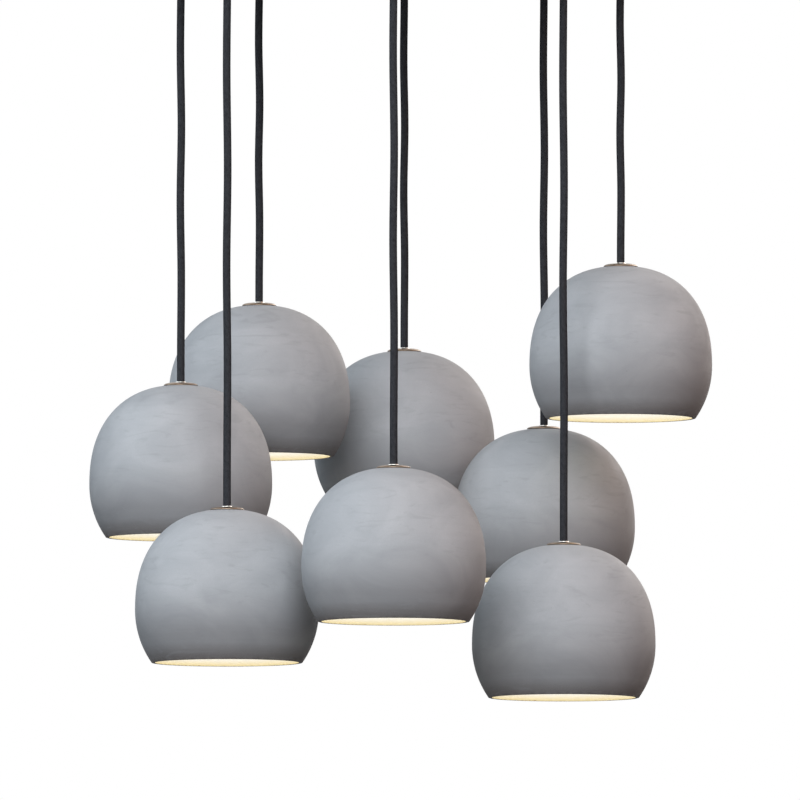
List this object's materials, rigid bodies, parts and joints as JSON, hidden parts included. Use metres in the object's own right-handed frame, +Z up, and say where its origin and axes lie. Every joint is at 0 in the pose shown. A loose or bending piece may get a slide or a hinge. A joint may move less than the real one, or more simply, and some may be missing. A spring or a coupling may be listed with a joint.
{
  "type": "cluster pendant chandelier",
  "caption": "Cluster chandelier of open concrete ball shades with nickel caps, hung at staggered heights on black fabric cords from a round canopy.",
  "frame": {"origin": "centre of the flat top face of the mounting bracket, where it meets the ceiling", "axes": "+Z up into the ceiling, +X to the right and +Y away from someone who faces the front of the light"},
  "size_m": [0.6131, 0.7258, 0.7945],
  "materials": {
    "canopy_nickel": "satin",
    "cap_nickel": "satin",
    "zinc_steel": "satin",
    "earth_brass": "satin",
    "white_ceramic": "satin",
    "lead_sleeving": "matte",
    "black_nylon": "satin",
    "black_braid": "matte",
    "concrete": "matte",
    "frosted_bulb": "satin"
  },
  "bodies": {
    "canopy": {"canopy_cover": "canopy_nickel", "ceiling_bracket": "zinc_steel", "cover_stud_1": "zinc_steel", "cover_stud_2": "zinc_steel", "cover_nut_1": "cap_nickel", "cover_nut_2": "cap_nickel", "earth_screw": "earth_brass", "terminal_block": "white_ceramic", "lead_loom": "lead_sleeving", "cord_grip_1": "black_nylon", "cord_grip_2": "black_nylon", "cord_grip_3": "black_nylon", "cord_grip_4": "black_nylon", "cord_grip_5": "black_nylon", "cord_grip_6": "black_nylon", "cord_grip_7": "black_nylon", "cord_grip_8": "black_nylon"},
    "cord_1": {"cord_1": "black_braid"},
    "pendant_1": {"cap_1": "cap_nickel", "shade_1": "concrete", "lampholder_1": "white_ceramic"},
    "bulb_1": {"bulb_1": "frosted_bulb"},
    "cord_2": {"cord_2": "black_braid"},
    "pendant_2": {"cap_2": "cap_nickel", "shade_2": "concrete", "lampholder_2": "white_ceramic"},
    "bulb_2": {"bulb_2": "frosted_bulb"},
    "cord_3": {"cord_3": "black_braid"},
    "pendant_3": {"cap_3": "cap_nickel", "shade_3": "concrete", "lampholder_3": "white_ceramic"},
    "bulb_3": {"bulb_3": "frosted_bulb"},
    "cord_4": {"cord_4": "black_braid"},
    "pendant_4": {"cap_4": "cap_nickel", "shade_4": "concrete", "lampholder_4": "white_ceramic"},
    "bulb_4": {"bulb_4": "frosted_bulb"},
    "cord_5": {"cord_5": "black_braid"},
    "pendant_5": {"cap_5": "cap_nickel", "shade_5": "concrete", "lampholder_5": "white_ceramic"},
    "bulb_5": {"bulb_5": "frosted_bulb"},
    "cord_6": {"cord_6": "black_braid"},
    "pendant_6": {"cap_6": "cap_nickel", "shade_6": "concrete", "lampholder_6": "white_ceramic"},
    "bulb_6": {"bulb_6": "frosted_bulb"},
    "cord_7": {"cord_7": "black_braid"},
    "pendant_7": {"cap_7": "cap_nickel", "shade_7": "concrete", "lampholder_7": "white_ceramic"},
    "bulb_7": {"bulb_7": "frosted_bulb"},
    "cord_8": {"cord_8": "black_braid"},
    "pendant_8": {"cap_8": "cap_nickel", "shade_8": "concrete", "lampholder_8": "white_ceramic"},
    "bulb_8": {"bulb_8": "frosted_bulb"}
  },
  "joints": [
    {"name": "swing_1", "type": "hinge", "parent": "canopy", "child": "cord_1", "pos_m": [-0.14027, 0.14191, -0.045], "axis": [0.7112, 0.703, 0], "range_deg": [-2, 20]},
    {"name": "twist_1", "type": "hinge", "parent": "cord_1", "child": "pendant_1", "pos_m": [-0.14027, 0.14191, -0.39219], "axis": [0, 0, 1], "range_deg": [-180, 180]},
    {"name": "bulb_pull_1", "type": "slide", "parent": "pendant_1", "child": "bulb_1", "axis": [0, 0, -1], "range_m": [0, 0.014]},
    {"name": "swing_2", "type": "hinge", "parent": "canopy", "child": "cord_2", "pos_m": [-0.21643, -0.02109, -0.045], "axis": [-0.097, 0.9953, 0], "range_deg": [-1.5, 20]},
    {"name": "twist_2", "type": "hinge", "parent": "cord_2", "child": "pendant_2", "pos_m": [-0.21643, -0.02109, -0.48148], "axis": [0, 0, 1], "range_deg": [-180, 180]},
    {"name": "bulb_pull_2", "type": "slide", "parent": "pendant_2", "child": "bulb_2", "axis": [0, 0, -1], "range_m": [0, 0.014]},
    {"name": "swing_3", "type": "hinge", "parent": "canopy", "child": "cord_3", "pos_m": [-0.16986, -0.16903, -0.045], "axis": [-0.7054, 0.7088, 0], "range_deg": [-1.5, 20]},
    {"name": "twist_3", "type": "hinge", "parent": "cord_3", "child": "pendant_3", "pos_m": [-0.16986, -0.16903, -0.61247], "axis": [0, 0, 1], "range_deg": [-180, 180]},
    {"name": "bulb_pull_3", "type": "slide", "parent": "pendant_3", "child": "bulb_3", "axis": [0, 0, -1], "range_m": [0, 0.014]},
    {"name": "swing_4", "type": "hinge", "parent": "canopy", "child": "cord_4", "pos_m": [0.00356, 0.27286, -0.045], "axis": [0.9999, -0.0131, 0], "range_deg": [-1.5, 20]},
    {"name": "twist_4", "type": "hinge", "parent": "cord_4", "child": "pendant_4", "pos_m": [0.00356, 0.27286, -0.42943], "axis": [0, 0, 1], "range_deg": [-180, 180]},
    {"name": "bulb_pull_4", "type": "slide", "parent": "pendant_4", "child": "bulb_4", "axis": [0, 0, -1], "range_m": [0, 0.014]},
    {"name": "swing_5", "type": "hinge", "parent": "canopy", "child": "cord_5", "pos_m": [-0.00685, -0.27286, -0.045], "axis": [-0.9997, 0.0251, 0], "range_deg": [-1.5, 20]},
    {"name": "twist_5", "type": "hinge", "parent": "cord_5", "child": "pendant_5", "pos_m": [-0.00685, -0.27286, -0.57761], "axis": [0, 0, 1], "range_deg": [-180, 180]},
    {"name": "bulb_pull_5", "type": "slide", "parent": "pendant_5", "child": "bulb_5", "axis": [0, 0, -1], "range_m": [0, 0.014]},
    {"name": "swing_6", "type": "hinge", "parent": "canopy", "child": "cord_6", "pos_m": [0.14191, 0.13287, -0.045], "axis": [0.6835, -0.73, 0], "range_deg": [-6, 20]},
    {"name": "twist_6", "type": "hinge", "parent": "cord_6", "child": "pendant_6", "pos_m": [0.14191, 0.13287, -0.51518], "axis": [0, 0, 1], "range_deg": [-180, 180]},
    {"name": "bulb_pull_6", "type": "slide", "parent": "pendant_6", "child": "bulb_6", "axis": [0, 0, -1], "range_m": [0, 0.014]},
    {"name": "swing_7", "type": "hinge", "parent": "canopy", "child": "cord_7", "pos_m": [0.2167, -0.00904, -0.045], "axis": [-0.0417, -0.9991, 0], "range_deg": [-6, 20]},
    {"name": "twist_7", "type": "hinge", "parent": "cord_7", "child": "pendant_7", "pos_m": [0.2167, -0.00904, -0.36339], "axis": [0, 0, 1], "range_deg": [-180, 180]},
    {"name": "bulb_pull_7", "type": "slide", "parent": "pendant_7", "child": "bulb_7", "axis": [0, 0, -1], "range_m": [0, 0.014]},
    {"name": "swing_8", "type": "hinge", "parent": "canopy", "child": "cord_8", "pos_m": [0.15972, -0.12109, -0.045], "axis": [-0.6041, -0.7969, 0], "range_deg": [-6, 20]},
    {"name": "twist_8", "type": "hinge", "parent": "cord_8", "child": "pendant_8", "pos_m": [0.15972, -0.12109, -0.6443], "axis": [0, 0, 1], "range_deg": [-180, 180]},
    {"name": "bulb_pull_8", "type": "slide", "parent": "pendant_8", "child": "bulb_8", "axis": [0, 0, -1], "range_m": [0, 0.014]}
  ]
}
